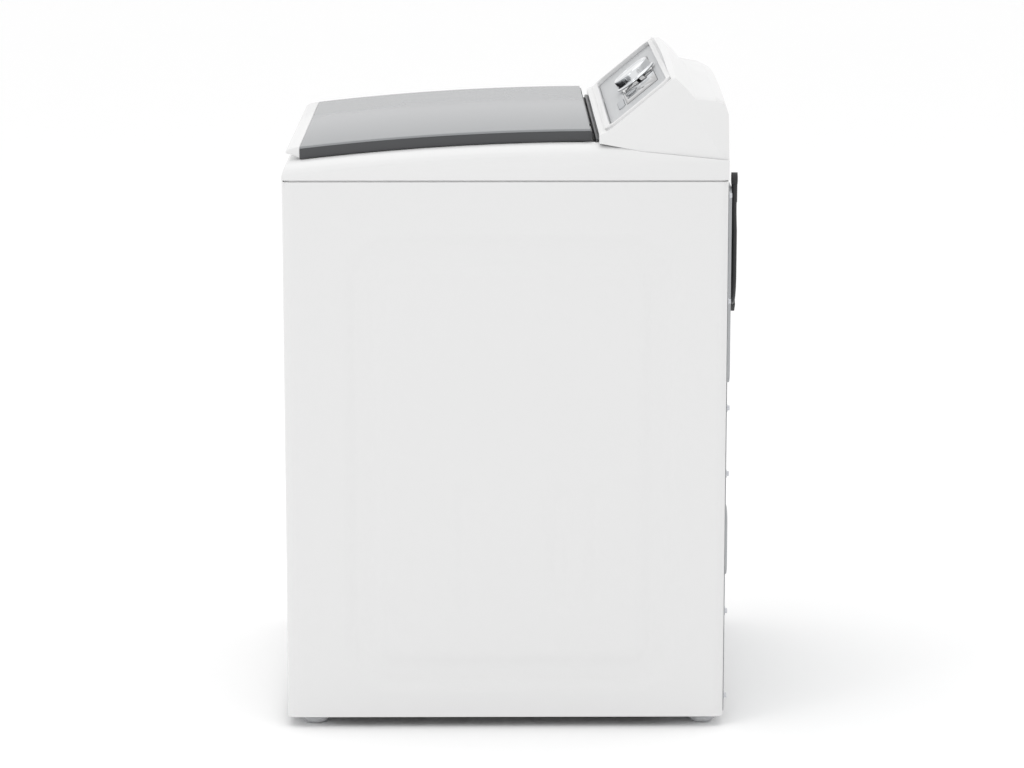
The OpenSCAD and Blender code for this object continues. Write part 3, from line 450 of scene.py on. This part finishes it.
# ---------------------------------------------------------------------------
# Wash side: moulded tub and ring, stainless basket, wash plate, and the direct
# drive below them.
tub_plastic = surface("tub_plastic", (216, 217, 212), 0.45, grain=500, bump=0.08, tone=0.05)
grey_plastic = surface("grey_plastic", (200, 203, 205), 0.42, grain=600, bump=0.07, tone=0.05)
stainless = surface("stainless", (208, 210, 212), 0.34, grain=240, bump=0.04, tone=0.06, drift=20,
                    metallic=0.8)
machined = surface("machined", (168, 171, 175), 0.30, grain=500, bump=0.05, tone=0.10, drift=60,
                   metallic=1.0)
winding = surface("winding", (150, 84, 44), 0.40, grain=420, bump=0.4, tone=0.25)
spring_wire = surface("spring_wire", (140, 143, 147), 0.35, grain=500, bump=0.05, tone=0.1,
                      metallic=0.9)
black_hose = surface("black_hose", (46, 46, 48), 0.55, grain=700, bump=0.15, tone=0.10)
for names, finish in (
    (("outer_tub", "tub_ring", "balance_ring"), tub_plastic),
    (("wash_plate", "inlet_valves", "drain_pump", "clutch_slider", "pump_impeller"), grey_plastic),
    (("tub_bearings", "spin_tube", "drive_shaft", "rotor"), machined),
    (("stator",), winding),
    (("shaft_seal", "fill_hoses"), black_hose),
):
    for name in names:
        softened(name, 0.0008, finish)

# ---------------------------------------------------------------------------
# Wash basket: rolled stainless sheet, pierced all round with rows of small
# drain holes, and closed below by a pressed floor on the hub.
basket_low, basket_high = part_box("wash_basket")
basket_mid = (basket_low + basket_high) / 2
basket_r = (basket_high.x - basket_low.x) / 2
basket_t = 0.001
hole_r = 0.0021
holes_round, hole_rows = 72, 20
hole_low, hole_high = 0.262, 0.734
floor_h = 0.022              # height of the floor and its turned-up edge
cell_w, cell_h = 2 * math.pi / holes_round, (hole_high - hole_low) / hole_rows

deselect()
bpy.ops.mesh.primitive_circle_add(vertices=8, radius=hole_r)
pierced = bpy.context.object
pierced.name = "wash_basket_made"
bpy.ops.object.mode_set(mode="EDIT")
bpy.ops.mesh.select_all(action="SELECT")
bpy.ops.mesh.extrude_edges_move()
bpy.ops.transform.resize(value=(3, 3, 1))
bpy.ops.object.mode_set(mode="OBJECT")
half_w, half_h = basket_r * cell_w / 2, cell_h / 2
for vertex in pierced.data.vertices:
    if vertex.co.length > 2 * hole_r:
        x, y = vertex.co.x, vertex.co.y
        vertex.co.x = half_w * (0 if abs(x) < hole_r else math.copysign(1, x))
        vertex.co.y = half_h * (0 if abs(y) < hole_r else math.copysign(1, y))
apply_modifier(pierced, "ARRAY", count=holes_round, use_relative_offset=False,
               use_constant_offset=True, constant_offset_displace=(2 * half_w, 0, 0),
               use_merge_vertices=True, merge_threshold=0.0001)
apply_modifier(pierced, "ARRAY", count=hole_rows, use_relative_offset=False,
               use_constant_offset=True, constant_offset_displace=(0, 2 * half_h, 0),
               use_merge_vertices=True, merge_threshold=0.0001)
# plain bands above and below the holes, each one strip of the same spacing
band = bmesh.new()
band.from_mesh(pierced.data)
for edge_y, z in ((-half_h, basket_low.z), (2 * half_h * hole_rows - half_h, basket_high.z)):
    rim = [e for e in band.edges if all(abs(v.co.y - edge_y) < 1e-5 for v in e.verts)]
    grown = bmesh.ops.extrude_edge_only(band, edges=rim)["geom"]
    for v in (g for g in grown if isinstance(g, bmesh.types.BMVert)):
        v.co.y = z - hole_low - half_h
for v in band.verts:
    turn, up = v.co.x / basket_r, v.co.y + half_h + hole_low
    v.co = (basket_r * math.cos(turn), basket_mid.y + basket_r * math.sin(turn), up)
bmesh.ops.remove_doubles(band, verts=band.verts, dist=0.0001)
bmesh.ops.recalc_face_normals(band, faces=band.faces)
band.to_mesh(pierced.data)
band.free()
apply_modifier(pierced, "SOLIDIFY", thickness=basket_t, offset=-1)
basket_floor = softened("wash_basket", 0.0006, stainless)
low_part = bmesh.new()
low_part.from_mesh(basket_floor.data)
bmesh.ops.bisect_plane(
    low_part, geom=low_part.verts[:] + low_part.edges[:] + low_part.faces[:],
    plane_co=(0, 0, basket_low.z + floor_h), plane_no=(0, 0, 1), clear_outer=True)
low_part.to_mesh(basket_floor.data)
low_part.free()
basket_floor.name = "wash_basket_floor"
finish_piece(pierced, stainless, "basket", ["wash_basket"])

# ---------------------------------------------------------------------------
# Suspension springs: wound steel wire round each rod, closed at both ends; they
# ride the cabinet as fixed meshes.
spring_low, spring_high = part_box("suspension_springs")
wire_r = 0.00165
spring_r = 0.016
coil_r = spring_r - wire_r
flat_share, wound_share = 0.08, 0.84   # of the wire: in one closed end, in the open coils
ease_share = 0.25            # how much of the rise eases in and out
coils = 9
coil_steps = 28
spring_h = spring_high.z - spring_low.z
for i, (sx, sy) in enumerate(((-1, -1), (1, -1), (-1, 1), (1, 1))):
    x0, y0 = sx * (spring_high.x - spring_r), sy * (spring_high.y - spring_r)
    wound = bpy.data.curves.new("spring_wire", "CURVE")
    wound.dimensions = "3D"
    wound.bevel_depth = wire_r
    wound.bevel_resolution = 3
    wound.use_fill_caps = True
    line = wound.splines.new("POLY")
    steps = coils * coil_steps
    line.points.add(steps)
    for j, point in enumerate(line.points):
        share = j / steps
        # the end coils lie flat, the others are evenly wound
        open_share = min(max((share - flat_share) / wound_share, 0), 1)
        rise = smooth_step(open_share) * ease_share + open_share * (1 - ease_share)
        turn = 2 * math.pi * coils * share
        point.co = (x0 + coil_r * math.cos(turn), y0 + coil_r * math.sin(turn),
                    spring_low.z + wire_r + rise * (spring_h - 2 * wire_r), 1)
    spring = bpy.data.objects.new("suspension_spring_%d" % i, wound)
    bpy.context.scene.collection.objects.link(spring)
    make_active(spring)
    bpy.ops.object.convert(target="MESH")
    spring = bpy.context.object
    finish_piece(spring, spring_wire, "cabinet", ["suspension_springs"], smooth=60)
    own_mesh(spring)

# ---------------------------------------------------------------------------
# Drain hose: black rubber, from the pump on the tub to its port on the cabinet;
# it is a fixed mesh attached to no body.
hose = softened("drain_hose", 0, black_hose, smooth=60, rides=False)
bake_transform(hose)

# ---------------------------------------------------------------------------
# Floor and light: pale seamless floor, a wide soft lamp overhead, a smaller one
# to the front right, and an even sky.
deselect()
bpy.ops.mesh.primitive_plane_add(size=60)
floor = bpy.context.object
floor.name = "floor"
floor_paint = surface("floor_paint", (254, 254, 254), 0.8, grain=30, bump=0.0, tone=0.004)
dress(floor, floor_paint)


def lamp(name, place, target, width, power):
    data = bpy.data.lights.new(name, "AREA")
    data.shape = "SQUARE"
    data.size = width
    data.energy = power
    made = bpy.data.objects.new(name, data)
    made.location = place
    made.rotation_euler = (Vector(target) - Vector(place)).to_track_quat("-Z", "Y").to_euler()
    bpy.context.scene.collection.objects.link(made)


lamp("top_lamp", (0.4, 0.0, 4.6), (0, 0, 0), 4.5, 34)
lamp("side_lamp", (3.2, -3.2, 3.2), (0, 0, 0.6), 1.2, 14)
sky = bpy.data.worlds.new("studio")
sky.use_nodes = True
sky.node_tree.nodes["Background"].inputs["Color"].default_value = (1, 1, 1, 1)
sky.node_tree.nodes["Background"].inputs["Strength"].default_value = 1.0
bpy.context.scene.world = sky
